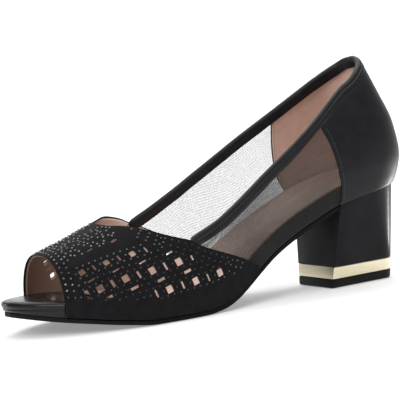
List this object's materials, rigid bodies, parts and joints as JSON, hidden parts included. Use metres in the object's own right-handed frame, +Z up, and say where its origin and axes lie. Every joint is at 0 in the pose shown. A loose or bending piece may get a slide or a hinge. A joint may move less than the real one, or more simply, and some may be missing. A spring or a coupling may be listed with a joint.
{
  "type": "peep-toe block heel pump",
  "caption": "Left women's peep-toe pump with perforated suede vamp, sheer mesh sides, leather heel counter and collar binding, beige footbed and a black block heel with a pale gold band",
  "frame": {"origin": "on the floor under the middle of the shoe's bounding box, with the shoe standing on its heel and forefoot", "axes": "+X from the toe towards the heel, +Y from the outer (lateral) to the inner (medial) side, +Z up"},
  "size_m": [0.237, 0.082, 0.1231],
  "materials": {
    "outsole": "matt black moulded rubber",
    "insole": "board wrapped in smooth black leather, under a beige sock lining",
    "upper": "sheer black mesh at the sides, leather lining under the vamp and the counter",
    "vamp": "black suede with cut holes",
    "heel_counter": "smooth satin black leather",
    "topline_binding": "folded smooth black leather strip",
    "heel_block": "gloss black lacquer",
    "heel_band": "brushed pale gold",
    "top_lift": "hard black rubber"
  },
  "bodies": {
    "root": {"outsole": "outsole", "insole": "insole", "upper": "upper", "vamp": "vamp", "heel_counter": "heel_counter", "topline_binding": "topline_binding", "heel_block": "heel_block", "heel_band": "heel_band", "top_lift": "top_lift"}
  },
  "joints": []
}
